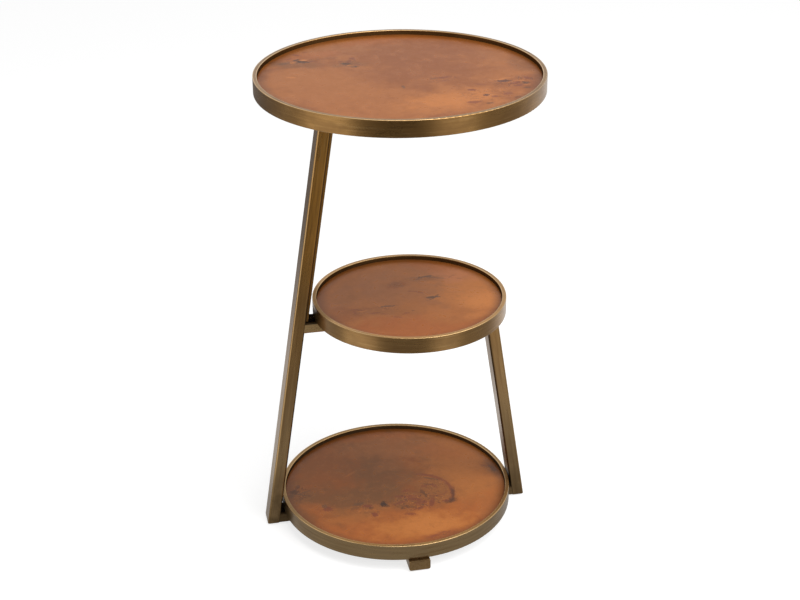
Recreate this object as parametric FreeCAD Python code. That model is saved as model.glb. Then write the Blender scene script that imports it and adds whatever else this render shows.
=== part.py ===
"""Three-tier round side table: a welded flat-tube frame that carries three rimmed trays.

Millimetres. +X runs along the frame from the tall leg to the short leg, +Y to the back,
+Z up. The origin is on the floor, under the middle of the table's plan outline.
"""
import FreeCAD, Part
import math
import os

# Overall sizes
table_height = 707.5
middle_tray_height = 365.0       # floor to the top of the middle rim
base_width = 407.8               # across the feet of the two legs
leg_lean = 8.7                   # degrees inward from upright, both legs

# Frame tubes; a level bar lies with its wide side up
tube_depth = 32.0                # wide side of both tubes
bar_thickness = 17.0             # narrow side of the tube in the level bars
leg_thickness = 18.5             # narrow side of the tube in the legs
tube_wall = 1.5
tube_corner = 3.0                # outer corner radius
weld_lap = 1.2                   # how far a coped end reaches round a corner that it meets
end_plate_thickness = 2.5
end_plate_edge = 1.2             # rounding of a plate's outer edge

# Flat bar that stiffens the free stretch of the tall leg
stiffener_thickness = 4.0
stiffener_width = 22.0
stiffener_corner = 0.8

# Trays
top_tray_diameter = 406.0
top_tray_offset = 12.0           # tray centre from the frame's centre, towards the short leg
middle_tray_gap = 6.2            # between the stiffener and the middle rim
middle_tray_overhang = 11.9      # middle rim beyond the short leg's outer face
bottom_tray_gap = 1.9            # between each leg and the bottom rim
rim_height = 24.0
rim_thickness = 6.0
rim_edge = 0.8                   # rounding of the rim's four edges
recess_depth = 6.5               # rim above the veneer
veneer_thickness = 1.0
floor_thickness = 2.0            # steel disc that closes the tray
floor_weld_gap = 0.1             # around the steel disc
board_clearance = 0.3            # around the board and the veneer

# Level bars
foot_overhang = 5.0              # foot tubes beyond the bottom rim
top_arm_reach = 150.0            # arm beyond the top tray's centre

# Tray bolts, screwed up into threaded inserts in the boards
bolt_diameter = 5.0
bolt_length = 12.0
bolt_head_diameter = 9.5
bolt_head_height = 2.7
bolt_head_edge = 1.6
bolt_socket_width = 3.0          # across the flats of the hexagon
bolt_socket_depth = 1.6
bolt_hole_clearance = 0.5
access_hole_clearance = 1.5      # around the bolt head, in the lower wall of a bar
insert_diameter = 8.0
insert_length = 10.0
thread_clearance = 0.1
top_bolt_pitch = 66.0
middle_bolt_pitch = 75.0
bottom_bolt_spacing = 176.0      # between facing bolts of the bottom tray

# Glides
glide_diameter = 14.0
glide_thickness = 2.0
glide_edge = 0.6
glide_inset = 14.0               # glide centre from the end of a foot tube

X_AXIS = FreeCAD.Vector(1, 0, 0)
Y_AXIS = FreeCAD.Vector(0, 1, 0)
Z_AXIS = FreeCAD.Vector(0, 0, 1)
QUARTER_TURN = 90.0
SAME_LENGTH = 1e-6               # lengths and heights this close count as equal

# Heights
tube_underside = glide_thickness
base_bar_top = tube_underside + bar_thickness
middle_bar_top = middle_tray_height - rim_height
middle_bar_bottom = middle_bar_top - bar_thickness
arm_top = table_height - rim_height
arm_bottom = arm_top - bar_thickness
bottom_tray_top = base_bar_top + rim_height
board_thickness = rim_height - recess_depth - veneer_thickness - floor_thickness

# Leg sections on a level plane
lean_slope = math.tan(math.radians(leg_lean))
leg_slice = leg_thickness / math.cos(math.radians(leg_lean))
stiffener_slice = stiffener_thickness / math.cos(math.radians(leg_lean))


def leg_outside(height):
    """Distance from the frame's centre to the outer face of a leg at a height."""
    return base_width / 2 - (height - tube_underside) * lean_slope


def leg_inside(height):
    """Distance from the frame's centre to the inner face of a leg at a height."""
    return leg_outside(height) - leg_slice


# Plan positions
top_tray_radius = top_tray_diameter / 2
bottom_tray_radius = leg_inside(bottom_tray_top) - bottom_tray_gap
frame_x = -(top_tray_offset + top_tray_radius - base_width / 2) / 2
top_tray_x = frame_x + top_tray_offset
middle_rim_left = -leg_inside(middle_tray_height) + stiffener_slice + middle_tray_gap
middle_rim_right = leg_outside(middle_bar_bottom) + middle_tray_overhang
middle_tray_radius = (middle_rim_right - middle_rim_left) / 2
middle_tray_x = frame_x + (middle_rim_left + middle_rim_right) / 2
bottom_tray_x = frame_x
foot_end = bottom_tray_radius + foot_overhang
top_arm_start = frame_x - leg_outside(arm_bottom)
top_arm_end = top_tray_x + top_arm_reach
middle_bar_end = frame_x + leg_outside(middle_bar_bottom)
reach = table_height + base_width     # longer than any piece, for trimming blocks


def vector(x, y, z):
    return FreeCAD.Vector(x, y, z)


def block(x_range, y_range, z_range):
    """Axis-aligned block between two values on each axis."""
    size = [high - low for low, high in (x_range, y_range, z_range)]
    return Part.makeBox(*size, vector(x_range[0], y_range[0], z_range[0]))


def slab(low, high):
    """Everything near the table between two heights."""
    return block((-reach, reach), (-reach, reach), (low, high))


def edges_along(shape, axis):
    """Straight edges that run along an axis."""
    chosen = []
    for edge in shape.Edges:
        run = edge.Vertexes[-1].Point - edge.Vertexes[0].Point
        if run.Length > 0 and run.cross(axis).Length < SAME_LENGTH * run.Length:
            chosen.append(edge)
    return chosen


def edges_at(shape, height):
    """Edges that lie level at a height."""
    return [edge for edge in shape.Edges
            if all(abs(vertex.Z - height) < SAME_LENGTH for vertex in edge.Vertexes)]


def rounded_bar(size_x, size_y, length, corner):
    """Solid bar standing on its centre at the origin, along +Z, with rounded long edges."""
    body = block((-size_x / 2, size_x / 2), (-size_y / 2, size_y / 2), (0, length))
    return body.makeFillet(corner, edges_along(body, Z_AXIS))


def standing_bar(thickness, length):
    """Outer form of a frame tube, standing along +Z, with its wide side along Y."""
    return rounded_bar(thickness, tube_depth, length, tube_corner)


def standing_bore(thickness, length):
    """Inner form of a frame tube."""
    inner_depth = tube_depth - 2 * tube_wall
    return rounded_bar(thickness - 2 * tube_wall, inner_depth, length, tube_corner - tube_wall)


def lay_along_x(bar, start, underside):
    """Lay a standing bar along +X from a start, with its underside at a height."""
    laid = bar.copy()
    laid.rotate(vector(0, 0, 0), Y_AXIS, QUARTER_TURN)
    laid.translate(vector(start, 0, underside + bar_thickness / 2))
    return laid


def lay_along_y(bar, start, centre_x, underside):
    """Lay a standing bar along +Y from a start, with its underside at a height."""
    laid = bar.copy()
    laid.rotate(vector(0, 0, 0), Z_AXIS, QUARTER_TURN)
    laid.rotate(vector(0, 0, 0), X_AXIS, -QUARTER_TURN)
    laid.translate(vector(centre_x, start, underside + bar_thickness / 2))
    return laid


def lean_into_place(bar, side, depth_inside):
    """Lean an upright bar inward; its middle line lies depth_inside the leg's outer face.

    The bar is twice the reach long and goes through the floor at its middle.
    side is -1 for the tall leg and +1 for the short leg.
    """
    placed = bar.copy()
    placed.translate(vector(0, 0, -reach))
    placed.rotate(vector(0, 0, 0), Y_AXIS, -side * leg_lean)
    level_offset = depth_inside / math.cos(math.radians(leg_lean))
    foot_x = frame_x + side * (base_width / 2 - level_offset)
    placed.translate(vector(foot_x, 0, tube_underside))
    return placed


def leg_form(side, form):
    return lean_into_place(form(leg_thickness, 2 * reach), side, leg_thickness / 2)


def level_bar_x(start, end, underside):
    """Hollow frame tube along X."""
    outer = lay_along_x(standing_bar(bar_thickness, end - start), start, underside)
    return outer.cut(lay_along_x(standing_bore(bar_thickness, end - start), start, underside))


def level_bar_y(start, end, centre_x, underside):
    """Hollow frame tube along Y."""
    outer = lay_along_y(standing_bar(bar_thickness, end - start), start, centre_x, underside)
    bore = lay_along_y(standing_bore(bar_thickness, end - start), start, centre_x, underside)
    return outer.cut(bore)


def leg(side, top, against):
    """Leg from its foot plate to the level bar that it meets, coped round that bar."""
    tube = leg_form(side, standing_bar).cut(leg_form(side, standing_bore))
    tube = tube.common(slab(tube_underside + end_plate_thickness, top + weld_lap))
    return tube.cut(against)


def leg_foot_plate(side):
    """Plate welded under a leg, with the leg's outline and a rounded lower edge."""
    top = tube_underside + end_plate_thickness
    plate = leg_form(side, standing_bar).common(slab(tube_underside, top))
    return plate.makeFillet(end_plate_edge, edges_at(plate, tube_underside))


def inside_legs(height_low, height_high, overlap):
    """Space between the inner faces of the legs, opened by an overlap on each side."""
    def corner(side, height):
        return vector(frame_x + side * (leg_inside(height) + overlap), -reach, height)
    outline = [corner(-1, height_low), corner(1, height_low)]
    outline += [corner(1, height_high), corner(-1, height_high)]
    face = Part.Face(Part.makePolygon(outline + outline[:1]))
    return face.extrude(vector(0, 2 * reach, 0))


def end_plate():
    """Plate for a tube end, standing on the tube end, with a rounded outer edge."""
    plate = standing_bar(bar_thickness, end_plate_thickness)
    return plate.makeFillet(end_plate_edge, edges_at(plate, end_plate_thickness))


def disc(radius, thickness, centre_x, bottom):
    return Part.makeCylinder(radius, thickness, vector(centre_x, 0, bottom))


def drill(shape, points, diameter, low, high):
    """Drill upright round holes through a shape between two heights."""
    for x, y in points:
        hole = Part.makeCylinder(diameter / 2, high - low, vector(x, y, low))
        shape = shape.cut(hole)
    return shape


def drill_bar(bar, points, underside):
    """Access hole in the lower wall and clearance hole in the upper wall for each bolt."""
    inner_bottom = underside + tube_wall
    inner_top = underside + bar_thickness - tube_wall
    access_diameter = bolt_head_diameter + 2 * access_hole_clearance
    bar = drill(bar, points, access_diameter, underside - tube_wall, inner_bottom + tube_wall / 2)
    hole_diameter = bolt_diameter + bolt_hole_clearance
    return drill(bar, points, hole_diameter, inner_top - tube_wall / 2, inner_top + 2 * tube_wall)


def tray_rim(radius, centre_x, bottom):
    """Hoop rolled from flat bar."""
    hoop = disc(radius, rim_height, centre_x, bottom)
    hoop = hoop.cut(disc(radius - rim_thickness, rim_height, centre_x, bottom))
    return hoop.makeFillet(rim_edge, edges_at(hoop, bottom) + edges_at(hoop, bottom + rim_height))


def tray_floor(radius, centre_x, bottom, bolts):
    """Steel disc welded inside the foot of the rim."""
    plate = disc(radius - rim_thickness - floor_weld_gap, floor_thickness, centre_x, bottom)
    hole_diameter = bolt_diameter + bolt_hole_clearance
    return drill(plate, bolts, hole_diameter, bottom, bottom + floor_thickness)


def tray_board(radius, centre_x, bottom, bolts):
    """Fibreboard core with a blind hole for each insert."""
    underside = bottom + floor_thickness
    core = disc(radius - rim_thickness - board_clearance, board_thickness, centre_x, underside)
    return drill(core, bolts, insert_diameter, underside, underside + insert_length)


def tray_veneer(radius, centre_x, bottom):
    """Burl veneer face on the core."""
    underside = bottom + floor_thickness + board_thickness
    return disc(radius - rim_thickness - board_clearance, veneer_thickness, centre_x, underside)


def threaded_insert(x, y, bottom):
    """Sleeve pressed into the board; its bore clears the bolt's outside."""
    sleeve = Part.makeCylinder(insert_diameter / 2, insert_length, vector(x, y, bottom))
    bore_radius = (bolt_diameter + thread_clearance) / 2
    return sleeve.cut(Part.makeCylinder(bore_radius, insert_length, vector(x, y, bottom)))


def hexagon_prism(across_flats, height):
    """Six-sided prism on its centre at the origin."""
    corner_radius = across_flats / 2 / math.cos(math.pi / 6)
    corners = [vector(corner_radius * math.cos(k * math.pi / 3),
                      corner_radius * math.sin(k * math.pi / 3), 0) for k in range(6)]
    return Part.Face(Part.makePolygon(corners + corners[:1])).extrude(vector(0, 0, height))


def tray_bolt(x, y, seat):
    """Button-head bolt pointing up, with the bearing face of its head at the seat."""
    head = Part.makeCylinder(bolt_head_diameter / 2, bolt_head_height)
    head = head.makeFillet(bolt_head_edge, edges_at(head, 0))
    head = head.cut(hexagon_prism(bolt_socket_width, bolt_socket_depth))
    shank = Part.makeCylinder(bolt_diameter / 2, bolt_length, vector(0, 0, bolt_head_height))
    bolt = head.fuse(shank).removeSplitter()
    bolt.translate(vector(x, y, seat - bolt_head_height))
    return bolt


def glide(x, y):
    """Nylon pad stuck under a foot."""
    pad = Part.makeCylinder(glide_diameter / 2, glide_thickness, vector(x, y, 0))
    return pad.makeFillet(glide_edge, edges_at(pad, 0))


# Where the bolts stand, in plan
top_bolts = [(top_tray_x + step * top_bolt_pitch, 0) for step in (-1, 0, 1, 2)]
middle_bolts = [(middle_tray_x + step * middle_bolt_pitch, 0) for step in (-1, 0, 1)]
base_bar_bolts = [(bottom_tray_x + side * bottom_bolt_spacing / 2, 0) for side in (-1, 1)]
front_foot_bolts = [(bottom_tray_x, -bottom_bolt_spacing / 2)]
rear_foot_bolts = [(bottom_tray_x, bottom_bolt_spacing / 2)]
bottom_bolts = base_bar_bolts + front_foot_bolts + rear_foot_bolts


def frame_pieces():
    """Tubes, plates and the stiffener of the welded frame."""
    tall_form = leg_form(-1, standing_bar)
    short_form = leg_form(1, standing_bar)
    tube_end = foot_end - end_plate_thickness
    arm_from = top_arm_start + end_plate_thickness
    arm_to = top_arm_end - end_plate_thickness
    middle_to = middle_bar_end - end_plate_thickness

    base_bar = level_bar_x(frame_x - base_width / 2, frame_x + base_width / 2, tube_underside)
    base_bar = base_bar.common(inside_legs(tube_underside, base_bar_top, weld_lap))
    base_bar = base_bar.cut(tall_form).cut(short_form)
    middle_bar = level_bar_x(frame_x - base_width / 2, middle_to, middle_bar_bottom)
    beyond_short_leg = block((frame_x, reach), (-reach, reach), (middle_bar_bottom, middle_bar_top))
    middle_space = inside_legs(middle_bar_bottom, middle_bar_top, weld_lap).fuse(beyond_short_leg)
    middle_bar = middle_bar.common(middle_space).cut(tall_form)
    arm = level_bar_x(arm_from, arm_to, arm_bottom)
    front_foot = level_bar_y(-tube_end, -tube_depth / 2, frame_x, tube_underside)
    rear_foot = level_bar_y(tube_depth / 2, tube_end, frame_x, tube_underside)

    arm_form = standing_bar(bar_thickness, top_arm_end - top_arm_start)
    arm_outline = lay_along_x(arm_form, top_arm_start, arm_bottom)
    middle_form = standing_bar(bar_thickness, middle_bar_end - frame_x)
    middle_outline = lay_along_x(middle_form, frame_x, middle_bar_bottom)
    pieces = {
        "tall_leg": leg(-1, arm_bottom, arm_outline),
        "short_leg": leg(1, middle_bar_bottom, middle_outline),
        "tall_leg_foot_plate": leg_foot_plate(-1),
        "short_leg_foot_plate": leg_foot_plate(1),
        "base_crossbar": drill_bar(base_bar, base_bar_bolts, tube_underside),
        "middle_crossbar": drill_bar(middle_bar, middle_bolts, middle_bar_bottom),
        "top_arm": drill_bar(arm, top_bolts, arm_bottom),
        "front_foot": drill_bar(front_foot, front_foot_bolts, tube_underside),
        "rear_foot": drill_bar(rear_foot, rear_foot_bolts, tube_underside),
        "leg_stiffener": leg_stiffener(),
    }
    pieces.update(tube_end_plates(tube_end, middle_to, arm_from, arm_to))
    return pieces


def leg_stiffener():
    """Flat bar on the inner face of the tall leg, between the middle crossbar and the arm."""
    bar = rounded_bar(stiffener_thickness, stiffener_width, 2 * reach, stiffener_corner)
    placed = lean_into_place(bar, -1, leg_thickness + stiffener_thickness / 2)
    return placed.common(slab(middle_bar_top, arm_bottom))


def tube_end_plates(foot_tube_end, middle_to, arm_from, arm_to):
    """Plates that close the ends of the level tubes."""
    plate = end_plate()
    turned = plate.copy()
    turned.rotate(vector(0, 0, 0), Z_AXIS, 2 * QUARTER_TURN)
    turned.rotate(vector(0, 0, 0), Y_AXIS, 2 * QUARTER_TURN)
    return {
        "front_foot_plate": lay_along_y(turned, -foot_tube_end, frame_x, tube_underside),
        "rear_foot_plate": lay_along_y(plate, foot_tube_end, frame_x, tube_underside),
        "middle_crossbar_plate": lay_along_x(plate, middle_to, middle_bar_bottom),
        "top_arm_outer_plate": lay_along_x(turned, arm_from, arm_bottom),
        "top_arm_inner_plate": lay_along_x(plate, arm_to, arm_bottom),
    }


def tray_pieces(name, radius, centre_x, bottom, bolts):
    """Rim, floor, board, veneer, inserts and bolts of one tray that stands on a level bar."""
    board_underside = bottom + floor_thickness
    inserts = [threaded_insert(x, y, board_underside) for x, y in bolts]
    screws = [tray_bolt(x, y, bottom - tube_wall) for x, y in bolts]
    return {
        name + "_rim": tray_rim(radius, centre_x, bottom),
        name + "_tray_floor": tray_floor(radius, centre_x, bottom, bolts),
        name + "_board": tray_board(radius, centre_x, bottom, bolts),
        name + "_veneer": tray_veneer(radius, centre_x, bottom),
        name + "_inserts": Part.makeCompound(inserts),
        name + "_bolts": Part.makeCompound(screws),
    }


def glide_piece():
    """Four glides: one under each leg and one under the end of each foot tube."""
    leg_centre = base_width / 2 - leg_slice / 2
    foot_centre = foot_end - glide_inset
    places = [(frame_x + side * leg_centre, 0) for side in (-1, 1)]
    places += [(frame_x, side * foot_centre) for side in (-1, 1)]
    return Part.makeCompound([glide(x, y) for x, y in places])


def main():
    pieces = frame_pieces()
    pieces.update(tray_pieces("top", top_tray_radius, top_tray_x, arm_top, top_bolts))
    pieces.update(tray_pieces("middle", middle_tray_radius, middle_tray_x, middle_bar_top, middle_bolts))
    pieces.update(tray_pieces("bottom", bottom_tray_radius, bottom_tray_x, base_bar_top, bottom_bolts))
    pieces["floor_glides"] = glide_piece()
    os.makedirs("parts", exist_ok=True)
    for name, shape in pieces.items():
        shape.exportStep("parts/" + name + ".step")
        box = shape.BoundBox
        print(name, len(shape.Solids), shape.isValid(), round(shape.Volume),
              [round(value, 1) for value in (box.XMin, box.XMax, box.YMin, box.YMax, box.ZMin, box.ZMax)])


main()
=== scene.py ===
"""Looks of the tiered side table: aged brass on the frame and rims, burl veneer on the trays.

Every node of the frame gets a procedural material. The studio round it is a floor and a backdrop
that are seen white, two softboxes, and a glowing sheet that only reflections meet, which paints
lighter and darker reflections into the metal.
"""
import math

import bpy
from mathutils import Matrix, Vector


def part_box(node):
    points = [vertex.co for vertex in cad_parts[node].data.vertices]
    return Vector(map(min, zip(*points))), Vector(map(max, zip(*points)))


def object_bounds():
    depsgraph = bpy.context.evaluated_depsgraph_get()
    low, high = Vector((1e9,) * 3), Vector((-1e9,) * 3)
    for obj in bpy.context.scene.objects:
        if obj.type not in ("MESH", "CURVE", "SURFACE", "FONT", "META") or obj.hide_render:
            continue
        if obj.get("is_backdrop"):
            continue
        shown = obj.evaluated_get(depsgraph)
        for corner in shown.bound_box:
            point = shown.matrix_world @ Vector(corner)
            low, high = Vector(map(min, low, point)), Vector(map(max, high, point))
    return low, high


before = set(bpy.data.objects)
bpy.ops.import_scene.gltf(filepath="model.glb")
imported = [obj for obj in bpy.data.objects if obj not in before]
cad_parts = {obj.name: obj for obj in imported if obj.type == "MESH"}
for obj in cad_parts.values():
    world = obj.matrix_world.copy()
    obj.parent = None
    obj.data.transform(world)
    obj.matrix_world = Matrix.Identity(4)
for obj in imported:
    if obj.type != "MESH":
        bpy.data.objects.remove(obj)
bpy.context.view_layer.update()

# Lengths are in metres unless a comment says otherwise
LEG_LEAN = math.radians(8.7)
FRAME_X = -0.00555                   # middle of the frame
FOOT_HALF_SPAN = 0.2039              # from there to a leg's outer side, at the height of its foot
FOOT_Z = 0.002                       # the glides lift the frame by this
LEG_HALF = (0.00925, 0.016)          # half the leg tube's thickness and depth
BAR_HALF = (0.0085, 0.016)           # the same of a level tube
RIM_WALL = 0.006
RIM_HALF_HEIGHT = 0.012
TALL_SIDE, SHORT_SIDE = -1.0, 1.0    # side of the frame each leg stands on, along X


# ---------------------------------------------------------------- node helpers

class Tree:
    """Builds a node tree. Most methods take sockets or fixed values and return an output socket."""

    def __init__(self, tree):
        self.nodes = tree.nodes
        self.links = tree.links
        self.nodes.clear()

    def add(self, kind, **settings):
        node = self.nodes.new(kind)
        for name, value in settings.items():
            setattr(node, name, value)
        return node

    def plug(self, value, socket):
        if isinstance(value, bpy.types.NodeSocket):
            self.links.new(value, socket)
        elif value is not None:
            socket.default_value = value

    def math(self, operation, a, b=None, c=None, clamp=False):
        node = self.add("ShaderNodeMath", operation=operation, use_clamp=clamp)
        for socket, value in zip(node.inputs, (a, b, c)):
            self.plug(value, socket)
        return node.outputs[0]

    def times(self, a, b):
        return self.math("MULTIPLY", a, b)

    def highest(self, a, b):
        return self.math("MAXIMUM", a, b)

    def size_of(self, a):
        return self.math("ABSOLUTE", a)

    def vmath(self, operation, a, b=None, c=None):
        node = self.add("ShaderNodeVectorMath", operation=operation)
        for socket, value in zip(node.inputs, (a, b, c)):
            self.plug(value, socket)
        return node.outputs["Value" if operation in ("LENGTH", "DOT_PRODUCT") else "Vector"]

    def position(self):
        """Place in the frame, in metres."""
        return self.add("ShaderNodeTexCoord").outputs["Object"]

    def plan_position(self):
        """The same with its height left out."""
        return self.vmath("MULTIPLY", self.position(), (1, 1, 0))

    def mapped(self, vector, move=(0, 0, 0), turn=(0, 0, 0), stretch=(1, 1, 1), kind="POINT"):
        node = self.add("ShaderNodeMapping", vector_type=kind)
        self.plug(vector, node.inputs["Vector"])
        node.inputs["Location"].default_value = move
        node.inputs["Rotation"].default_value = turn
        node.inputs["Scale"].default_value = stretch
        return node.outputs["Vector"]

    def local(self, vector, centre, turn=(0, 0, 0), size=(1, 1, 1)):
        """Coordinates in a box with that centre, turn and size."""
        return self.mapped(vector, centre, turn, size, kind="TEXTURE")

    def split(self, vector):
        """Three sockets: x, y and z."""
        node = self.add("ShaderNodeSeparateXYZ")
        self.plug(vector, node.inputs[0])
        return node.outputs

    def from_axis(self, x, y):
        """Distance from the upright axis."""
        node = self.add("ShaderNodeCombineXYZ")
        self.plug(x, node.inputs[0])
        self.plug(y, node.inputs[1])
        return self.vmath("LENGTH", node.outputs[0])

    def noise(self, vector, scale, detail, rough=0.5, distortion=0.0, colour=False):
        node = self.add("ShaderNodeTexNoise", noise_dimensions="3D")
        self.plug(vector, node.inputs["Vector"])
        node.inputs["Scale"].default_value = scale
        node.inputs["Detail"].default_value = detail
        node.inputs["Roughness"].default_value = rough
        node.inputs["Distortion"].default_value = distortion
        return node.outputs["Color" if colour else "Fac"]

    def cells(self, vector, scale):
        """Distance to the nearest of many scattered points."""
        node = self.add("ShaderNodeTexVoronoi", feature="F1")
        self.plug(vector, node.inputs["Vector"])
        node.inputs["Scale"].default_value = scale
        return node.outputs["Distance"]

    def ramp(self, value, low, high, to_low=0.0, to_high=1.0):
        """Smooth step from to_low at low to to_high at high."""
        if low > high:
            low, high, to_low, to_high = high, low, to_high, to_low
        node = self.add("ShaderNodeMapRange", interpolation_type="SMOOTHSTEP")
        self.plug(value, node.inputs["Value"])
        limits = {"From Min": low, "From Max": high, "To Min": to_low, "To Max": to_high}
        for name, number in limits.items():
            node.inputs[name].default_value = number
        return node.outputs["Result"]

    def mix(self, amount, a, b, blend="MIX"):
        node = self.add("ShaderNodeMix", data_type="RGBA", blend_type=blend)
        self.plug(amount, node.inputs["Factor"])
        self.plug(a, node.inputs["A"])
        self.plug(b, node.inputs["B"])
        return node.outputs["Result"]

    def bump(self, height, distance, strength, normal=None):
        node = self.add("ShaderNodeBump")
        node.inputs["Strength"].default_value = strength
        node.inputs["Distance"].default_value = distance
        self.plug(height, node.inputs["Height"])
        self.plug(normal, node.inputs["Normal"])
        return node.outputs["Normal"]

    def end(self, shader, kind="ShaderNodeOutputMaterial"):
        """Make the tree's output show that shader."""
        self.plug(shader, self.add(kind).inputs["Surface"])


def srgb(red, green, blue):
    """Linear colour with alpha from 0-255 display values."""
    def linear(value):
        value /= 255
        return value / 12.92 if value <= 0.04045 else ((value + 0.055) / 1.055) ** 2.4
    return (linear(red), linear(green), linear(blue), 1.0)


WHITE = (1, 1, 1, 1)


def blank(name):
    """A new material and its empty tree."""
    material = bpy.data.materials.new(name)
    material.use_nodes = True
    return material, Tree(material.node_tree)


def surface(name, constants, build):
    """A material with one Principled shader.

    constants are fixed numbers for its sockets, and build(tree) gives what goes on the others.
    """
    material, tree = blank(name)
    shader = tree.add("ShaderNodeBsdfPrincipled")
    tree.end(shader.outputs[0])
    for socket, value in constants.items():
        shader.inputs[socket].default_value = value
    for socket, value in build(tree).items():
        tree.plug(value, shader.inputs[socket])
    return material


# ---------------------------------------------------------------- metal

BRONZE = srgb(160, 120, 68)
BRONZE_DARK = srgb(126, 92, 50)
BRONZE_WORN = srgb(184, 148, 98)
BRONZE_DULL = srgb(156, 132, 96)
BRONZE_WARM = srgb(206, 146, 66)
BRONZE_BRIGHT = srgb(226, 194, 142)
# Near-black of unrubbed patina, also laid on as painted shade in recesses and gaps beside other
# parts
PATINA_AND_SHADE = srgb(30, 20, 10)
METAL = {"Metallic": 1.0, "Coat Roughness": 0.22}

# Scales of the brushing and of the clouds along a bar's or a rim's own axes: both stretch where
# the scale is small
BAR_GRAIN = ((1, 1, 0.03), (1, 1, 0.2))
RIM_GRAIN = ((0.04, 0.04, 1), (0.5, 0.5, 1))


def bronze(tree, own, grain, seed, worn, dark, dull, warm):
    """Aged brass: brushing, cloudy patina, rubbed edges, and dark places of patina and painted
    shade.

    own is the place in metres. worn rubs the metal bright, dark lays on near-black, both for
    unrubbed patina and for painted shade, dull greys it and warm reddens it.
    """
    brush, cloud = grain
    place = tree.mapped(own, move=(seed, seed * 0.7, seed * 1.3))
    brushing = tree.noise(tree.mapped(place, stretch=brush), 2400, detail=3, rough=0.6)
    streaks = tree.noise(tree.mapped(place, stretch=brush), 320, detail=4, rough=0.65)
    clouds = tree.noise(tree.mapped(place, stretch=cloud), 45, detail=5, rough=0.62, distortion=0.5)
    specks = tree.noise(place, 900, detail=2, rough=0.5)
    colour = tree.mix(tree.ramp(clouds, 0.34, 0.68, 0.0, 0.6), BRONZE, BRONZE_DARK)
    colour = tree.mix(dull, colour, BRONZE_DULL)
    colour = tree.mix(warm, colour, BRONZE_WARM)
    colour = tree.mix(tree.ramp(streaks, 0.45, 0.7, 0.0, 0.5), colour, BRONZE_DARK)
    colour = tree.mix(tree.ramp(streaks, 0.46, 0.3, 0.0, 0.4), colour, BRONZE_WORN)
    colour = tree.mix(tree.ramp(specks, 0.62, 0.74, 0.0, 0.14), colour, BRONZE_DARK)
    rubbed = tree.times(worn, tree.ramp(streaks, 0.3, 0.62, 0.45, 1.0))
    colour = tree.mix(tree.ramp(rubbed, 0.0, 0.6), colour, BRONZE_WORN)
    colour = tree.mix(tree.ramp(rubbed, 0.4, 1.0), colour, BRONZE_BRIGHT)
    colour = tree.mix(dark, colour, PATINA_AND_SHADE)
    rough = tree.math("ADD", tree.ramp(clouds, 0.3, 0.7, 0.26, 0.33),
                      tree.ramp(brushing, 0.3, 0.7, -0.02, 0.02))
    rough = tree.math("ADD", rough, tree.times(dark, 0.3))
    rough = tree.math("SUBTRACT", rough, tree.times(rubbed, 0.06))
    normal = tree.bump(brushing, 0.000003, 0.5)
    normal = tree.bump(clouds, 0.00003, 0.15, normal)
    coat = tree.math("MULTIPLY_ADD", dark, -0.22, 0.22)
    edge = tree.mix(dark, WHITE, PATINA_AND_SHADE)
    return {"Base Color": colour, "Roughness": rough, "Normal": normal, "Coat Weight": coat,
            "Specular Tint": edge}


def corner_wear_and_shade(tree, x, y, half):
    """1 on the rounded long corners of a bar: rubbed wear, and painted shade on a leg's inner side.
    """
    near_x, near_y = (tree.ramp(tree.size_of(place), side - 0.0034, side - 0.0012)
                      for place, side in zip((x, y), half))
    return tree.times(near_x, near_y)


def bar_metal(name, centre, turn, half, seed, state):
    """Metal of a bar along its own Z; half is half its section.

    state(tree, x, y, z, corner) gives how worn, how dark, how dull and how warm it is. x, y and z
    are the bar's own, and corner is 1 on its long corners.
    """
    def build(tree):
        own = tree.local(tree.position(), centre, turn)
        x, y, z = tree.split(own)
        worn, dark, dull, warm = state(tree, x, y, z, corner_wear_and_shade(tree, x, y, half))
        return bronze(tree, own, BAR_GRAIN, seed, worn, dark, dull, warm)
    return surface(name, METAL, build)


def leg_metal(name, side, seed, state):
    """Metal of what leans with a leg, measured from the middle of that leg's foot."""
    foot = (FRAME_X + side * (FOOT_HALF_SPAN - LEG_HALF[0] / math.cos(LEG_LEAN)), 0, FOOT_Z)
    return bar_metal(name, foot, (0, -side * LEG_LEAN, 0), LEG_HALF, seed, state)


def leg_state(side, toning):
    """Darker towards the foot, except on the outer side, and duller low down.

    Painted shade on the inner corners, as their dark reflection, and low on the inner side beside
    the bottom tray; warmer higher up on the front and back.
    """
    def state(tree, x, y, z, corner):
        outward = tree.times(x, side)
        cloudy = tree.ramp(tree.noise(tree.position(), 45, detail=4), 0.3, 0.7, 0.4, 1.0)
        foot = tree.times(tree.ramp(z, 0.13, 0.0, 0.0, toning), cloudy)
        foot = tree.times(foot, tree.ramp(outward, 0.0092, 0.0084))
        # Painted shade: inner corners darkened as a dark reflection, inner side darkened low down
        # beside the bottom tray
        inner = tree.times(corner, tree.ramp(outward, -0.004, -0.006, 0.0, 0.85))
        low_inner = tree.times(tree.ramp(outward, -0.0078, -0.009),
                               tree.ramp(z, 0.046, 0.03, 0.0, 0.9))
        inner = tree.highest(inner, low_inner)
        narrow_side = tree.ramp(tree.size_of(y), 0.0125, 0.0155)
        warm = tree.times(narrow_side, tree.ramp(z, 0.36, 0.48, 0.0, 0.75))
        worn = tree.times(corner, 0.5)
        return worn, tree.highest(foot, inner), tree.ramp(z, 0.38, 0.1, 0.0, 0.7), warm
    return state


def stiffener_state(tree, x, y, z, corner):
    """Dark all along, most near the middle tray: partly patina, partly painted shade of the recess.
    """
    return 0.0, tree.ramp(z, 0.39, 0.47, 0.54, 0.38), 0.0, 0.4


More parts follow.
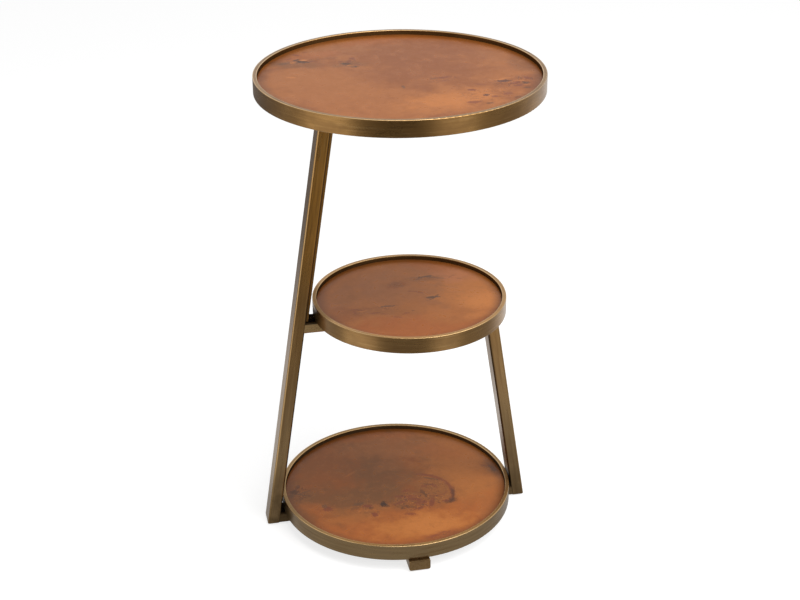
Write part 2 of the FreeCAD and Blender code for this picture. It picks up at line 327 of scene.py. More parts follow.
def crossbar_state(end_darkening, rubbed):
    """Level bar along X: dark on its upper side, its own -x, as patina and painted shade; darker at
    its ends.
    """
    def state(tree, x, y, z, corner):
        # Painted shade on the upper side, also hiding the sky's reflection on the upper front
        # corner; partly patina
        upper = tree.ramp(x, -0.0045, -0.0068, 0.0, 0.97)
        tall_leg_end = tree.ramp(z, -0.14, -0.175, 0.0, end_darkening)
        short_leg_end = tree.ramp(z, 0.13, 0.19, 0.0, end_darkening * 0.7)
        worn = tree.highest(tree.times(corner, 0.2), rubbed)
        dark = tree.highest(upper, tree.highest(tall_leg_end, short_leg_end))
        return worn, dark, 0.7, 0.0
    return state


def foot_state(tree, x, y, z, corner):
    """Level bar along Y: painted shade on its upper side, its own -y, under the bottom tray."""
    upper = tree.ramp(y, -0.0063, -0.0083, 0.1, 0.8)
    return tree.times(corner, 0.6), upper, 0.5, 0.0


ALONG_X = (0, math.pi / 2, 0)
ALONG_Y = (-math.pi / 2, 0, 0)


def rim_metal(name, centre, radius, seed, dull, lip_dark, toning):
    """Hoop brushed round, rubbed on its edges and dark on its inner side, as patina and painted
    shade.

    dull greys it and lip_dark darkens its lip. The last argument lays painted shade low down beside
    the legs and on its lip beside the tall leg, and warms its lip, most in front.
    """
    def build(tree):
        own = tree.local(tree.position(), centre)
        x, y, z = tree.split(own)
        out = tree.from_axis(x, y)
        lip = tree.ramp(z, RIM_HALF_HEIGHT - 0.0015, RIM_HALF_HEIGHT - 0.0002)
        edge = tree.ramp(tree.size_of(z), RIM_HALF_HEIGHT - 0.0007, RIM_HALF_HEIGHT - 0.0001)
        from_middle = tree.size_of(tree.math("SUBTRACT", out, radius - RIM_WALL / 2))
        flat = tree.ramp(from_middle, 0.0024, 0.0014)
        flat_lip = tree.times(flat, lip)
        worn = tree.times(tree.math("SUBTRACT", edge, flat, clamp=True), 0.8)
        inside = tree.ramp(out, radius - RIM_WALL + 0.0008, radius - RIM_WALL + 0.0002)
        below_lip = tree.ramp(z, RIM_HALF_HEIGHT - 0.0006, RIM_HALF_HEIGHT - 0.0016)
        # Painted shade low on the rim's sides beside the legs and on its lip beside the tall leg
        sideways = tree.ramp(tree.math("DIVIDE", tree.size_of(x), out), 0.93, 0.99, 0.0, toning)
        low_down = tree.ramp(z, RIM_HALF_HEIGHT - 0.003, 0.0)
        by_tall_leg = tree.ramp(tree.math("DIVIDE", x, out), -0.85, -0.97, 0.0, toning * 0.6)
        # Inner side: partly patina, partly painted shade of the recess above the tray face
        dark = tree.times(tree.times(inside, below_lip), 0.7)
        for one, other in ((flat_lip, lip_dark), (sideways, low_down), (by_tall_leg, lip)):
            dark = tree.highest(dark, tree.times(one, other))
        in_front = tree.ramp(tree.math("DIVIDE", y, out), -0.3, -0.9, toning * 0.3, toning)
        warm = tree.times(flat_lip, in_front)
        return bronze(tree, own, RIM_GRAIN, seed, worn, dark, dull, warm)
    return surface(name, METAL, build)


# ---------------------------------------------------------------- veneer

MM = 0.001

STRAW = srgb(198, 124, 62)
HONEY = srgb(183, 112, 50)
ORANGE = srgb(164, 99, 44)
RUST = srgb(163, 90, 34)
TAN = srgb(156, 96, 50)
BROWN = srgb(140, 78, 28)
UMBER = srgb(126, 77, 36)
OLIVE = srgb(112, 72, 36)
PLUM = srgb(117, 56, 34)
SLATE = srgb(86, 62, 46)
INK = srgb(46, 28, 20)
INK_PLUM = srgb(84, 46, 32)
# Painted shade towards the veneer's edge, beside the rim wall
RIM_SHADE_TONE = srgb(96, 56, 28)

# Soft patches of the burl figure, in mm from the tray's centre, +X right and +Y back:
# x, y, half length, half width, turn, tone, strength
PATCHES = {
    "top": [
        (-100, -25, 75, 90, 0, ORANGE, 0.9), (-20, -125, 90, 45, 5, ORANGE, 0.8),
        (-55, 145, 90, 34, 5, TAN, 0.8), (20, 168, 70, 22, 0, RUST, 0.6),
        (40, 20, 75, 48, 10, BROWN, 0.8), (70, 115, 80, 50, -10, BROWN, 0.85),
        (-10, 80, 45, 40, 0, BROWN, 0.6), (135, 20, 30, 60, 0, ORANGE, 0.35),
        (46, -116, 62, 30, 14, HONEY, 0.85), (40, -122, 34, 18, 8, STRAW, 0.35),
        (112, -88, 40, 22, 26, HONEY, 0.45), (80, -45, 45, 16, -20, BROWN, 0.6),
        (-138, 82, 38, 18, -14, UMBER, 0.7), (-60, 64, 22, 14, 0, UMBER, 0.7),
        (176, 14, 16, 34, 0, UMBER, 0.5), (138, -66, 34, 20, 12, BROWN, 0.8),
        (-5, -42, 34, 16, -8, BROWN, 0.55), (-100, 118, 40, 16, 12, RUST, 0.5),
        (150, 70, 26, 34, 20, TAN, 0.5), (2, -102, 20, 13, 0, HONEY, 0.4),
        (122, -100, 15, 8, 10, BROWN, 0.5), (124, -6, 30, 26, 0, BROWN, 0.35),
        (-40, 2, 24, 30, 0, BROWN, 0.3)],
    "middle": [
        (112, -5, 62, 105, 0, HONEY, 0.9), (104, -36, 34, 32, 0, STRAW, 0.7),
        (20, -98, 130, 40, 4, RUST, 0.85), (58, -72, 46, 24, 8, ORANGE, 0.8),
        (-104, -36, 30, 24, 20, BROWN, 0.6), (-40, -72, 40, 20, 0, RUST, 0.5),
        (-10, 48, 17, 13, 20, BROWN, 0.85), (86, 66, 34, 26, -20, srgb(180, 112, 74), 0.6),
        (-80, 18, 30, 14, 10, OLIVE, 0.22), (-50, 92, 46, 22, 20, ORANGE, 0.35),
        (36, 60, 26, 8, -8, UMBER, 0.5), (60, 105, 44, 18, -25, RUST, 0.5),
        (-45, -36, 44, 14, -8, UMBER, 0.3), (-20, 10, 60, 22, 5, TAN, 0.5),
        (30, -38, 34, 12, 4, ORANGE, 0.5), (32, -58, 22, 20, 0, HONEY, 0.3),
        (86, -72, 18, 10, 10, STRAW, 0.4)],
    "bottom": [
        (118, 20, 72, 135, -8, ORANGE, 0.95), (20, -118, 175, 58, 3, RUST, 0.95),
        (112, -10, 34, 40, 0, HONEY, 0.25), (18, -116, 74, 30, 3, HONEY, 0.8),
        (30, -118, 40, 20, 0, STRAW, 0.35), (-78, -78, 40, 16, -4, ORANGE, 0.6),
        (-14, 22, 36, 56, 12, OLIVE, 0.55), (-84, -18, 84, 24, -5, OLIVE, 0.6),
        (20, 112, 92, 34, -10, TAN, 0.7), (-96, 92, 40, 34, 30, BROWN, 0.5),
        (60, -30, 30, 34, -20, UMBER, 0.55), (160, 14, 14, 26, 10, UMBER, 0.75),
        (6, -50, 30, 22, 0, UMBER, 0.4), (-134, -40, 24, 16, -30, RUST, 0.5),
        (38, -150, 30, 9, 6, PLUM, 0.4), (96, 84, 44, 26, -30, RUST, 0.4),
        (-36, -57, 16, 10, 0, ORANGE, 0.5), (-106, -55, 20, 8, 0, ORANGE, 0.4),
        (-106, 18, 18, 13, 0, OLIVE, 0.4), (0, 54, 26, 14, 0, TAN, 0.35),
        (36, 18, 15, 14, 0, OLIVE, 0.4), (-140, 86, 24, 30, 30, UMBER, 0.5),
        # The two pale patches on the next line are painted light, lifting the veneer in the shade
        # of the back rim wall
        (0, 152, 84, 12, 0, RUST, 0.4), (106, 108, 56, 16, -48, ORANGE, 0.4),
        (128, -90, 26, 14, 55, TAN, 0.35), (-30, -155, 44, 9, 0, RUST, 0.3)],
}

# Knots, bark flecks and streaks, given like the patches
MARKS = {
    "top": [
        (-125, 92, 8, 4, -8, INK, 0.9), (-130, 101, 5, 3, 20, INK, 0.8),
        (-119, 98, 5, 2.5, -10, STRAW, 0.8), (-110, 92, 8, 2, -6, PLUM, 0.6),
        (-127, 124, 9, 2.5, -35, PLUM, 0.7), (-113, 135, 5, 2, 15, PLUM, 0.5),
        (-136, 90, 5, 2.5, 10, STRAW, 0.5), (-116, 87, 6, 2, 15, INK, 0.7),
        (-140, 108, 6, 3, 30, PLUM, 0.6), (-150, 88, 8, 5, 5, SLATE, 0.5),
        (-165, 96, 7, 3, 30, SLATE, 0.35), (-64, 69, 7, 4, -25, INK, 0.7),
        (-53, 52, 5, 2.5, 0, INK, 0.7), (-51, 91, 3, 5, 20, PLUM, 0.7),
        (-58, 78, 9, 2, 60, PLUM, 0.6), (-60, 60, 4, 2, 0, STRAW, 0.5),
        (-47, 60, 6, 2, -20, PLUM, 0.6), (-70, 80, 5, 2, 20, PLUM, 0.5),
        (57, -22, 10, 3.5, 5, PLUM, 0.55), (51, -36, 12, 2, -5, PLUM, 0.45),
        (-5, -50, 2.5, 7, 0, SLATE, 0.6), (44, -24, 5, 2, 20, SLATE, 0.4),
        (134, -55, 10, 4, -12, INK_PLUM, 0.9), (147, -66, 7, 4, 20, PLUM, 0.85),
        (161, -68, 5, 5, 0, INK, 0.6), (168, -49, 4, 6, 20, PLUM, 0.7),
        (149, -77, 8, 3, 10, PLUM, 0.7), (157, -88, 5, 3, 0, INK, 0.5),
        (139, -44, 12, 2, 16, STRAW, 0.5), (154, -57, 9, 2, -20, STRAW, 0.6),
        (142, -62, 6, 1.6, -10, STRAW, 0.7), (128, -48, 6, 2, -10, STRAW, 0.5),
        (160, -76, 6, 2, 0, STRAW, 0.5), (82, -82, 6, 3.5, -15, PLUM, 0.8),
        (95, -107, 4, 3.5, 20, INK_PLUM, 0.85), (73, -132, 9, 5, 0, PLUM, 0.7),
        (92, -140, 5, 3.5, 10, INK, 0.5), (105, -115, 4, 3, 0, PLUM, 0.7),
        (124, -107, 7, 3, 15, PLUM, 0.6), (135, -124, 6, 3, 30, INK, 0.35),
        (99, -62, 7, 2.5, -30, PLUM, 0.4), (-147, 24, 7, 3, -20, STRAW, 0.5)],
    "middle": [
        (-12, 50, 10, 6, 12, UMBER, 0.5), (-4, 42, 6, 4, -30, UMBER, 0.5),
        (38, 67, 13, 2.5, 4, SLATE, 0.75), (54, 60, 15, 2.5, -24, SLATE, 0.4),
        (28, 62, 9, 2, 20, SLATE, 0.35), (35, -5, 11, 3, -4, SLATE, 0.8),
        (33, -9, 8, 1.8, 28, SLATE, 0.6), (41, -1, 6, 1.6, 40, SLATE, 0.5),
        (-35, -20, 13, 2, -3, SLATE, 0.75), (-46, -22, 5, 1.5, 15, SLATE, 0.4),
        (-84, -22, 7, 1.8, -12, PLUM, 0.5), (-88, -30, 2, 5, 20, PLUM, 0.45),
        (-59, -38, 8, 2, 5, PLUM, 0.5), (-46, -44, 6, 1.8, -20, PLUM, 0.45),
        (-15, -49, 6, 1.8, 10, PLUM, 0.4), (-3, -42, 3, 1.6, 0, INK, 0.4),
        (-30, -58, 7, 2, -25, PLUM, 0.4), (78, 60, 9, 1.8, 30, PLUM, 0.3),
        (88, 50, 4, 2, 0, PLUM, 0.35), (-76, -29, 8, 1.6, 12, STRAW, 0.3),
        (60, 28, 7, 1.6, -30, UMBER, 0.3)],
    "bottom": [
        (-29, -50, 5, 7, -15, INK, 0.85), (-24, -57, 4, 3, 0, INK, 0.5),
        (-53, -51, 9, 4, -20, PLUM, 0.75), (-66, -42, 9, 4, 10, SLATE, 0.5),
        (-49, -57, 4, 3, 0, INK, 0.4), (-114, -46, 7, 6, 0, PLUM, 0.7),
        (-118, -36, 4, 6, 20, SLATE, 0.5), (-47, -76, 4.5, 6, -25, PLUM, 0.8),
        (-41, -70, 3, 3, 0, INK, 0.35), (8, -36, 20, 3, -8, PLUM, 0.55),
        (20, -46, 14, 4, -25, PLUM, 0.65), (-3, -52, 12, 2.5, 12, PLUM, 0.5),
        (28, -58, 10, 5, 10, PLUM, 0.6), (10, -66, 14, 3, -20, INK, 0.35),
        (24, -72, 10, 3, 15, PLUM, 0.6), (6, -85, 9, 3, -15, PLUM, 0.6),
        (-2, -67, 4, 3, 0, INK, 0.4), (14, -19, 6, 3, 20, PLUM, 0.45),
        (38, -33, 3, 12, 14, INK, 0.45), (45, -60, 4, 13, -18, PLUM, 0.75),
        (50, -10, 8, 2.5, -20, INK, 0.4), (58, -16, 3, 8, 30, PLUM, 0.5),
        (44, -14, 7, 2.5, 20, PLUM, 0.5), (57, 6, 11, 2.5, -30, SLATE, 0.55),
        (74, -62, 10, 5, 15, INK, 0.5), (66, -60, 6, 3, -10, PLUM, 0.6),
        (-159, 12, 7, 6, 20, INK, 0.7), (-151, 24, 3, 8, -15, INK, 0.4),
        (-148, 2, 10, 2.5, -25, SLATE, 0.6), (-164, 1, 4, 5, 0, SLATE, 0.6),
        (-140, 9, 12, 2, 20, SLATE, 0.35), (160, 15, 4, 11, 10, SLATE, 0.6),
        (150, 26, 9, 2, -30, PLUM, 0.35), (30, -149, 10, 2.5, 12, PLUM, 0.5),
        (46, -143, 8, 2, -10, PLUM, 0.4), (-62, 46, 14, 2, 35, STRAW, 0.12)],
}

# Curved bark lines: x and y of the circle's centre, radius, direction of the line's middle, half
# angle, half width, tone, strength
CURVES = {
    "top": [
        (52, -62, 42, 78, 34, 1.6, PLUM, 0.3), (140, -95, 40, 84, 30, 1.8, PLUM, 0.4),
        (-80, 40, 60, 96, 26, 2.0, UMBER, 0.3)],
    "middle": [
        (4, 0, 22, 62, 38, 1.8, PLUM, 0.5), (-60, -60, 38, 88, 42, 1.4, PLUM, 0.28),
        (60, 20, 44, 96, 30, 1.6, UMBER, 0.3)],
    "bottom": [
        (29, -31, 54, 24, 64, 3.2, PLUM, 0.7), (29, -31, 55, -18, 24, 2.6, INK, 0.5),
        (12, -48, 26, 74, 40, 1.8, PLUM, 0.4), (56, -22, 22, -80, 60, 2.0, PLUM, 0.4),
        (-90, -96, 74, 84, 40, 3.0, UMBER, 0.4)],
}

# Knotty places, where fine dark lines curl about: x, y, half length, half width, turn, strength
KNOTTY = {
    "top": [
        (-122, 94, 26, 13, -6, 0.8), (-60, 72, 20, 24, 20, 0.6), (148, -62, 34, 22, 10, 0.9),
        (95, -110, 44, 30, 20, 0.5), (50, -28, 34, 14, 0, 0.5)],
    "middle": [
        (40, 64, 26, 10, -6, 0.2), (36, -6, 14, 7, 10, 0.25), (-40, -24, 26, 12, 0, 0.45),
        (-82, -26, 18, 12, 0, 0.5), (-8, 46, 20, 16, 0, 0.45)],
    "bottom": [
        (18, -52, 40, 30, -10, 0.95), (54, -34, 26, 40, 0, 0.7), (-152, 8, 22, 24, 0, 0.8),
        (-58, -52, 26, 22, 0, 0.45), (-114, -42, 18, 16, 0, 0.6), (38, -148, 26, 8, 0, 0.5)],
}

# Two ground tones, the lacquer's sheen and a colour multiplier, partly painted light that lifts the
# middle and bottom trays against the top tray's shade
GROUND = {"top": ((BROWN, ORANGE), 0.08, (0.88, 0.84, 0.78, 1)),
          "middle": ((TAN, ORANGE), 0.13, (1.08, 1.03, 0.91, 1)),
          "bottom": ((UMBER, BROWN), 0.17, (1.07, 1.03, 0.92, 1))}


OVAL_REACH = 3.0          # how many times its own size an oval's nearness reaches


def nearness(tree, where, x, y, long_half, wide_half, turn):
    """1 in the middle of an oval, falling evenly to 0 at its full reach."""
    node = tree.add("ShaderNodeTexGradient", gradient_type="SPHERICAL")
    tree.plug(where, node.inputs["Vector"])
    place = node.texture_mapping
    place.vector_type = "TEXTURE"
    place.translation = (x, y, 0)
    place.rotation = (0, 0, math.radians(turn))
    place.scale = (OVAL_REACH * long_half, OVAL_REACH * wide_half, OVAL_REACH)
    return node.outputs["Fac"]


def laid(tree, colour, where, spot, softness, fray):
    """Colour with one soft, frayed oval laid over it."""
    *oval, tone, strength = spot
    depth = tree.math("MULTIPLY_ADD", nearness(tree, where, *oval), -OVAL_REACH, fray)
    edge = 1 - OVAL_REACH
    return tree.mix(tree.ramp(depth, edge + softness, edge - softness, 0.0, strength), colour, tone)


def drawn(tree, colour, where, curve, fray):
    """Colour with one frayed arc drawn over it, fading out to its ends."""
    x, y, radius, facing, half_angle, half_width, tone, strength = curve
    own = tree.local(where, (x, y, 0), (0, 0, math.radians(facing)))
    reach = tree.vmath("LENGTH", own)
    off = tree.size_of(tree.math("SUBTRACT", reach, radius))
    off = tree.math("MULTIPLY_ADD", fray, half_width * 1.4, off)
    line = tree.ramp(off, half_width * 1.6, half_width * 0.2, 0.0, strength)
    along = tree.math("DIVIDE", tree.split(own)[0], reach)
    whole, fading = (math.cos(math.radians(half_angle * share)) for share in (0.6, 1.0))
    within = tree.ramp(along, fading, whole)
    return tree.mix(tree.times(line, within), colour, tone)


def curled(tree, colour, plan, seeded, places):
    """Colour with fine dark lines, each beside a paler one, curling about in the knotty places."""
    swirl = tree.noise(seeded, 0.085, detail=3, rough=0.55, distortion=1.8)
    broken = tree.ramp(tree.noise(seeded, 0.16, detail=2), 0.4, 0.55)
    dark = tree.ramp(tree.size_of(tree.math("SUBTRACT", swirl, 0.5)), 0.035, 0.008)
    pale = tree.ramp(tree.size_of(tree.math("SUBTRACT", swirl, 0.565)), 0.03, 0.008)
    knotty = 0.0
    for *oval, strength in places:
        place = tree.ramp(nearness(tree, plan, *oval), 0.62, 0.8, 0.0, strength)
        knotty = tree.highest(place, knotty)
    lines = tree.times(knotty, broken)
    colour = tree.mix(tree.times(lines, tree.times(pale, 0.55)), colour, STRAW)
    return tree.mix(tree.times(lines, dark), colour, INK_PLUM)


def both_ways(tree, noise, reach):
    """Noise from 0 to 1 spread from -reach to reach."""
    return tree.math("MULTIPLY_ADD", noise, 2 * reach, -reach)


def strayed(tree, plan, scale, amount):
    """Plan coordinates pushed about by noise, up to about half the amount each way."""
    push = tree.vmath("SUBTRACT", tree.noise(plan, scale, detail=2, colour=True), (0.5, 0.5, 0.5))
    return tree.vmath("MULTIPLY_ADD", push, (amount, amount, 0), plan)


def veneer(name, tray, centre, radius, seed, ground, sheen, toning):
    """Burl: soft patches, then mottle, growth lines, pin knots, pores, drawn lines and knots, and
    painted shade by the rim.

    radius is in mm, like all that is drawn; noise scales are per mm.
    """
    def build(tree):
        plan = tree.local(tree.plan_position(), (centre[0], centre[1], 0), size=(MM, MM, MM))
        seeded = tree.mapped(plan, move=(seed * 100, seed * 37, seed * 11))
        loose = strayed(tree, strayed(tree, plan, 0.03, 26.0), 0.11, 8.0)
        tight = strayed(tree, strayed(tree, plan, 0.12, 6.0), 0.5, 2.4)
        fray = both_ways(tree, tree.noise(seeded, 0.05, detail=5, rough=0.6), 1.0)
        crumble = both_ways(tree, tree.noise(seeded, 0.42, detail=4, rough=0.7), 1.4)
        broad = tree.noise(seeded, 0.018, detail=3, rough=0.55, distortion=0.6)
        colour = tree.mix(tree.ramp(broad, 0.35, 0.65), ground[0], ground[1])
        for patch in PATCHES[tray]:
            colour = laid(tree, colour, loose, patch, 0.5, fray)
        mottle = tree.noise(seeded, 0.075, detail=5, rough=0.6, distortion=0.8)
        colour = tree.mix(tree.ramp(mottle, 0.5, 0.72, 0.0, 0.2), colour, UMBER)
        colour = tree.mix(tree.ramp(mottle, 0.5, 0.3, 0.0, 0.16), colour, STRAW)
        swirl = tree.noise(seeded, 0.028, detail=2, rough=0.4, distortion=1.6)
        lines = tree.math("SINE", tree.times(swirl, 150.0))
        colour = tree.mix(tree.ramp(lines, 0.2, 1.0, 0.0, 0.07), colour, PLUM)
        clusters = tree.ramp(tree.noise(seeded, 0.035, detail=2), 0.56, 0.68)
        eyes = tree.ramp(tree.cells(tight, 0.16), 0.2, 0.08, 0.0, 0.35)
        colour = tree.mix(tree.times(eyes, clusters), colour, PLUM)
        pores = tree.noise(seeded, 0.9, detail=3, rough=0.7)
        colour = tree.mix(tree.ramp(pores, 0.55, 0.75, 0.0, 0.18), colour, PLUM)
        for curve in CURVES[tray]:
            colour = drawn(tree, colour, tight, curve, crumble)
        colour = curled(tree, colour, loose, seeded, KNOTTY[tray])
        for mark in MARKS[tray]:
            colour = laid(tree, colour, tight, mark, 0.25, crumble)
        # Painted shade: darker towards the edge, where the rim wall shades the veneer
        rim_shade = tree.ramp(tree.vmath("LENGTH", plan), radius - 20, radius - 3, 0.0, 0.5)
        colour = tree.mix(rim_shade, colour, RIM_SHADE_TONE)
        # Colour multiplier: partly tone, partly painted light lifting the lower trays out of the
        # top tray's shade
        colour = tree.mix(1.0, colour, toning, blend="MULTIPLY")
        gloss = tree.ramp(mottle, 0.3, 0.7, 0.27, 0.33)
        return {"Base Color": colour, "Roughness": gloss, "Normal": tree.bump(pores, 0.00001, 0.4)}
    return surface(name, {"Specular IOR Level": sheen}, build)


# ---------------------------------------------------------------- hidden and small pieces

# Look, fixed numbers, two tones, scale of the mottle, roughness and depth of the bump
TRAY_PIECES = {
    "tray_floor": ("lacquered_steel", {"Metallic": 0.6}, srgb(70, 54, 36), srgb(92, 72, 48),
                   60, 0.45, 0.0001),
    "board": ("fibreboard", {}, srgb(150, 118, 84), srgb(176, 142, 104), 700, 0.85, 0.0001),
    "inserts": ("turned_brass", {"Metallic": 1.0}, srgb(196, 160, 92), srgb(214, 180, 112),
                900, 0.3, 0.00003),
    "bolts": ("black_oxide", {"Metallic": 1.0}, srgb(48, 47, 46), srgb(66, 64, 62),
              1200, 0.42, 0.00003),
}


def plain(name, constants, low_colour, high_colour, scale, rough, depth):
    """Even material with a fine mottle and bump."""
    def build(tree):
        mottle = tree.noise(tree.position(), scale, detail=4, rough=0.6)
        colour = tree.mix(tree.ramp(mottle, 0.35, 0.65), low_colour, high_colour)
        gloss = tree.ramp(mottle, 0.3, 0.7, rough - 0.06, rough + 0.06)
        return {"Base Color": colour, "Roughness": gloss, "Normal": tree.bump(mottle, depth, 0.3)}
    return surface(name, constants, build)


# ---------------------------------------------------------------- assign

def centre_of(node):
    low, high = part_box(node)
    return (Vector(low) + Vector(high)) / 2


def bar_centre(node):
    """Middle of the frame, at the height of a level bar."""
    return (FRAME_X, 0, centre_of(node)[2])


def dress(names, material):
    for name in names:
        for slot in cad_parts[name].material_slots:
            slot.material = material


dress(["tall_leg", "tall_leg_foot_plate"],
      leg_metal("bronze_tall_leg", TALL_SIDE, seed=0.31, state=leg_state(TALL_SIDE, toning=0.75)))
dress(["leg_stiffener"],
      leg_metal("bronze_stiffener", TALL_SIDE, seed=0.83, state=stiffener_state))
dress(["short_leg", "short_leg_foot_plate"],
      leg_metal("bronze_short_leg", SHORT_SIDE, seed=1.7, state=leg_state(SHORT_SIDE, toning=0.5)))

# Bars along X: the nodes that each dresses, its seed and its state
LEVEL_X = {
    "base_crossbar": (["base_crossbar"], 2.3, crossbar_state(end_darkening=0.72, rubbed=0.0)),
    "middle_crossbar": (["middle_crossbar", "middle_crossbar_plate"], 3.3,
                        crossbar_state(end_darkening=0.0, rubbed=0.6)),
    "top_arm": (["top_arm", "top_arm_outer_plate", "top_arm_inner_plate"], 4.3,
                crossbar_state(end_darkening=0.0, rubbed=0.0)),
}
for bar, (nodes, seed, state) in LEVEL_X.items():
    dress(nodes, bar_metal("bronze_" + bar, bar_centre(bar), ALONG_X, BAR_HALF, seed, state))
dress(["front_foot", "front_foot_plate", "rear_foot", "rear_foot_plate"],
      bar_metal("bronze_feet", bar_centre("front_foot"), ALONG_Y, BAR_HALF[::-1], seed=5.9,
                state=foot_state))

# Seed; then how dull the rim is, how dark its lip, and how strong its painted shade beside the legs
# and its warmth on the lip
TRAYS = {"top": (0.4, (0.0, 0.15, 0.0)),
         "middle": (1.9, (0.15, 0.05, 0.6)),
         "bottom": (3.1, (0.85, 0.3, 0.6))}
for tray, (seed, rim_age) in TRAYS.items():
    centre = centre_of(tray + "_rim")
    low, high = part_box(tray + "_veneer")
    face_radius = (high[0] - low[0]) / 2 / MM
    low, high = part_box(tray + "_rim")
    rim_radius = (high[0] - low[0]) / 2
    dress([tray + "_rim"],
          rim_metal("bronze_" + tray + "_rim", centre, rim_radius, seed, *rim_age))
    dress([tray + "_veneer"],
          veneer("burl_" + tray, tray, centre, face_radius, seed, *GROUND[tray]))
    for piece, (look, *numbers) in TRAY_PIECES.items():
        dress([tray + "_" + piece], plain(look + "_" + tray, *numbers))
dress(["floor_glides"], plain("dark_nylon", {"Specular IOR Level": 0.4}, srgb(38, 34, 31),
                              srgb(48, 44, 40), 500, 0.6, 0.0001))


# ---------------------------------------------------------------- camera

# Fitted to the photograph
CAMERA_PLACE = (-0.40965, -2.0518, 1.3778)
CAMERA_ANGLES = (26.01, 11.4, -0.45)          # down, to the right and rolled, in degrees
CAMERA_LENS, CAMERA_SENSOR = 71.046, 36.0     # in mm


def place_camera():
    pitch, yaw, roll = (math.radians(angle) for angle in CAMERA_ANGLES)
    forward = Vector((math.sin(yaw) * math.cos(pitch), math.cos(yaw) * math.cos(pitch),
                      -math.sin(pitch)))
    level = Vector((math.cos(yaw), -math.sin(yaw), 0))
    upward = level.cross(forward)
    right = level * math.cos(roll) + upward * math.sin(roll)
    up = upward * math.cos(roll) - level * math.sin(roll)
    data = bpy.data.cameras.new("camera")
    data.sensor_width = CAMERA_SENSOR
    data.lens = CAMERA_LENS
    data.clip_start, data.clip_end = 0.05, 100.0
    camera = bpy.data.objects.new("camera", data)
    turn = Matrix((right, up, -forward)).transposed()
    camera.matrix_world = Matrix.Translation(CAMERA_PLACE) @ turn.to_4x4()
    bpy.context.scene.collection.objects.link(camera)
    bpy.context.scene.camera = camera


place_camera()


# ---------------------------------------------------------------- studio

ROOM_GREY = (0.42, 0.42, 0.42, 1)     # the backdrop as it lights the table, and the floor as seen
FLOOR_GREY = (0.8, 0.8, 0.8, 1)       # the floor as it lights the table
FLOOR_GLOW = 0.75                     # lifts the seen floor to white
FLOOR_HALF = 15.0
GLOW_SHEET_RADIUS, GLOW_SHEET_HEIGHT, GLOW_SHEET_CORNERS = 4.0, 0.0008, 48     # it lies just over the floor
GLOW_SHEET_TONE = 0.43

# Painted reflection: lighter and darker sides of the glowing sheet, given as compass angle from the
# back and half width in degrees, amount near and far, and the distance from the table's middle at
# which the side begins
GLOW_SHEET_SIDES = [(247, 27, 0.6, 0.78, 0.26), (191, 45, -0.08, -0.42, 0.26),
               (151, 20, 0.36, 0.66, 0.26), (112, 26, -0.03, -0.12, 0.26),
               (50, 44, 0.55, 0.36, 0.12), (330, 50, 0.25, -0.24, 0.1)]


def sheet(name, corners, material):
    mesh = bpy.data.meshes.new(name)
    mesh.from_pydata(corners, [], [tuple(range(len(corners)))])
    mesh.materials.append(material)
    made = bpy.data.objects.new(name, mesh)
    bpy.context.scene.collection.objects.link(made)
    return made


def seen_directly(tree):
    """1 for camera, glossy and transmission rays."""
    path = tree.add("ShaderNodeLightPath")
    seen = tree.highest(path.outputs["Is Camera Ray"], path.outputs["Is Glossy Ray"])
    return tree.highest(seen, path.outputs["Is Transmission Ray"])


def floor_material():
    """White where it is seen, pale grey where it lights the table."""
    material, tree = blank("studio_floor")
    lit = tree.add("ShaderNodeBsdfDiffuse")
    lit.inputs["Color"].default_value = FLOOR_GREY
    shade = tree.add("ShaderNodeBsdfDiffuse")
    shade.inputs["Color"].default_value = ROOM_GREY
    glow = tree.add("ShaderNodeEmission")
    glow.inputs["Color"].default_value = WHITE
    glow.inputs["Strength"].default_value = FLOOR_GLOW
    both = tree.add("ShaderNodeAddShader")
    tree.plug(shade.outputs[0], both.inputs[0])
    tree.plug(glow.outputs[0], both.inputs[1])
    mix = tree.add("ShaderNodeMixShader")
    for source, socket in zip((seen_directly(tree), lit.outputs[0], both.outputs[0]), mix.inputs):
        tree.plug(source, socket)
    tree.end(mix.outputs[0])
    return material


def studio_world():
    """White where it is seen, grey where it lights the table."""
    world = bpy.data.worlds.new("studio")
    bpy.context.scene.world = world
    world.use_nodes = True
    tree = Tree(world.node_tree)
    backdrop = tree.add("ShaderNodeBackground")
    tree.plug(tree.mix(seen_directly(tree), ROOM_GREY, WHITE), backdrop.inputs["Color"])
    tree.end(backdrop.outputs[0], "ShaderNodeOutputWorld")


def softbox(name, place, aim, size, watts):
    data = bpy.data.lights.new(name, "AREA")
    data.shape = "RECTANGLE"
    data.size, data.size_y = size
    data.energy = watts
    lamp = bpy.data.objects.new(name, data)
    lamp.location = place
    lamp.rotation_mode = "QUATERNION"
    lamp.rotation_quaternion = (Vector(aim) - Vector(place)).to_track_quat("-Z", "Y")
    lamp.visible_camera = False
    bpy.context.scene.collection.objects.link(lamp)


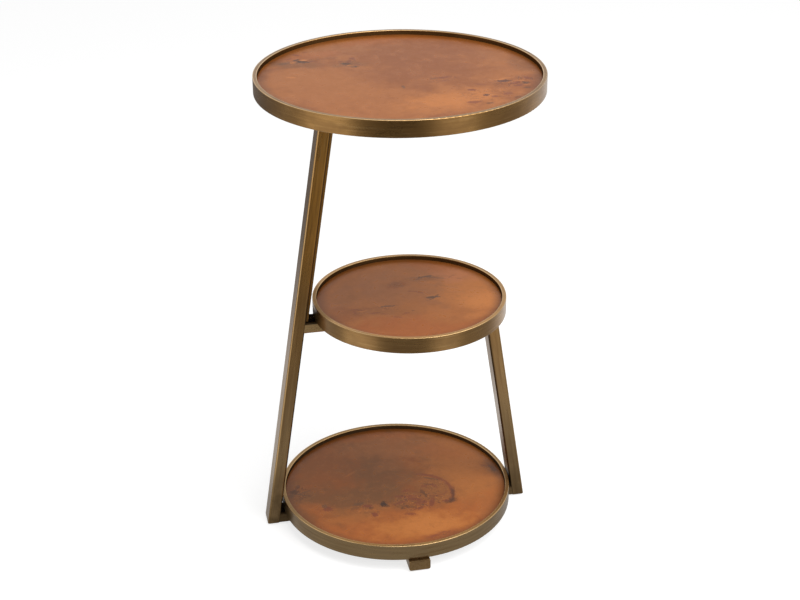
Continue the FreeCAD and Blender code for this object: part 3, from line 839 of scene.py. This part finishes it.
def reflection_glow_sheet(name):
    """Painted reflection: glowing grey sheet round the table that only reflections meet, lighter
    and darker on some sides.
    """
    material, tree = blank(name)
    flat = tree.plan_position()
    direction = tree.vmath("NORMALIZE", flat)
    distance = tree.vmath("LENGTH", flat)
    far = tree.ramp(distance, 0.6, 1.45)
    tone = GLOW_SHEET_TONE
    for angle, width, near_amount, far_amount, start in GLOW_SHEET_SIDES:
        toward = (math.sin(math.radians(angle)), math.cos(math.radians(angle)), 0)
        facing = tree.vmath("DOT_PRODUCT", direction, toward)
        amount = tree.math("MULTIPLY_ADD", far, far_amount - near_amount, near_amount)
        begun = tree.ramp(distance, start, start + 0.2)
        part = tree.times(begun, tree.ramp(facing, math.cos(math.radians(width)), 1.0))
        tone = tree.math("MULTIPLY_ADD", part, amount, tone)
    # The sheet glows only for reflections: painted reflection, not a lamp
    glow = tree.add("ShaderNodeEmission")
    tree.plug(tone, glow.inputs["Strength"])
    tree.end(glow.outputs[0])
    turns = [2 * math.pi * corner / GLOW_SHEET_CORNERS for corner in range(GLOW_SHEET_CORNERS)]
    corners = [(GLOW_SHEET_RADIUS * math.sin(turn), GLOW_SHEET_RADIUS * math.cos(turn), GLOW_SHEET_HEIGHT)
               for turn in turns]
    glow_sheet = sheet(name, corners, material)
    for kind in ("camera", "diffuse", "shadow", "transmission", "volume_scatter"):
        setattr(glow_sheet, "visible_" + kind, False)
    glow_sheet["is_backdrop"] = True


floor = sheet("studio_floor", [(-FLOOR_HALF, -FLOOR_HALF, 0), (FLOOR_HALF, -FLOOR_HALF, 0),
                               (FLOOR_HALF, FLOOR_HALF, 0), (-FLOOR_HALF, FLOOR_HALF, 0)],
              floor_material())
floor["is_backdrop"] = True
reflection_glow_sheet("painted_reflection_sheet")
studio_world()
softbox("overhead", place=(0.25, -0.6, 2.6), aim=(0, 0, 0.4), size=(1.6, 1.4), watts=22.0)
softbox("key", place=(1.5, -1.4, 2.35), aim=(0, 0, 0.3), size=(3.2, 2.4), watts=59.5)

bpy.context.scene.view_settings.view_transform = "Standard"

low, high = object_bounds()
